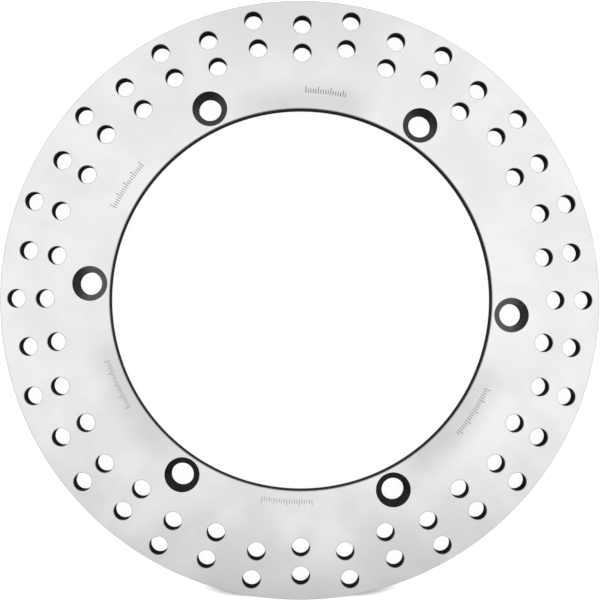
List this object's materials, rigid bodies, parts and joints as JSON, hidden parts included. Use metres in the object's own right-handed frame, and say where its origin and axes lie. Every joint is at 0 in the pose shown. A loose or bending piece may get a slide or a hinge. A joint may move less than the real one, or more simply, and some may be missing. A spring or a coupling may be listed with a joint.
{
  "type": "motorcycle brake disc rotor",
  "caption": "Flat drilled brake rotor ring for a motorcycle wheel, with dished bolt holes by its bore and staggered vent holes in its pad track.",
  "frame": {"origin": "centre of the bore on the back face, the face that lies on the wheel", "axes": "+Z along the wheel's axle, out of the front face, the one away from the wheel; +X through an outer vent pair"},
  "size_m": [0.298, 0.298, 0.0055],
  "materials": {
    "ground_stainless": "ground satin faces; black coat in the bore, the vent holes and the dished bolt holes",
    "black_coat": "thin satin black coat left below the ground faces",
    "etched_mark": "dull dark laser etch, plain scale strokes"
  },
  "bodies": {
    "root": {"rotor_plate": "ground_stainless"}
  },
  "joints": []
}
